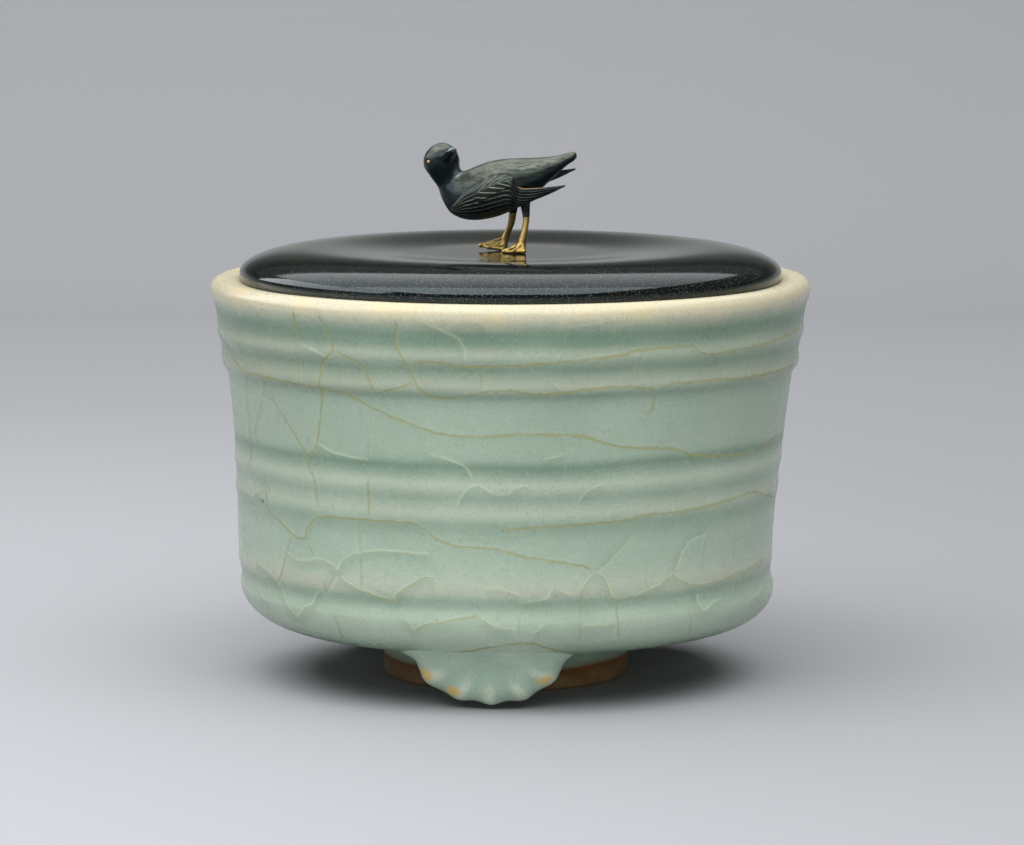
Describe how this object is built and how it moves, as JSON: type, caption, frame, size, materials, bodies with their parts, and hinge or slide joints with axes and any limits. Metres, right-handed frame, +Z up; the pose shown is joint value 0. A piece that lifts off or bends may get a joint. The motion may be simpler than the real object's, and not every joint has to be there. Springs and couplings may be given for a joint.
{
  "type": "covered incense burner",
  "caption": "Ribbed celadon bowl on a foot ring with small lobed feet, closed by a dark turned lid that lifts off by a cast bird standing on gilt legs.",
  "frame": {"origin": "on the bowl's axis, at the level of the surface that the foot ring stands on", "axes": "+Z up along the bowl's axis, -Y towards the front foot, the bird walks towards -X"},
  "size_m": [0.13, 0.13, 0.1153],
  "materials": {
    "celadon": "pale blue-green crackled glaze",
    "biscuit": "bare clay burnt orange-brown, glazed above",
    "lacquer": "dark polished lacquer over turned wood",
    "bronze": "cast copper alloy with a dark green-black patina",
    "gilt": "gilt"
  },
  "bodies": {
    "vessel": {"bowl": "celadon", "foot_ring": "biscuit", "foot_front": "celadon", "foot_rear_left": "celadon", "foot_rear_right": "celadon"},
    "cover": {"lid": "lacquer", "bird_body": "bronze", "wing_left": "bronze", "wing_right": "bronze", "eye_left": "gilt", "eye_right": "gilt", "leg_left": "gilt", "leg_right": "gilt", "washer_left": "gilt", "washer_right": "gilt"}
  },
  "joints": [
    {"name": "lid_lift", "type": "slide", "parent": "vessel", "child": "cover", "axis": [0, 0, 1], "range_m": [0, 0.06]}
  ]
}
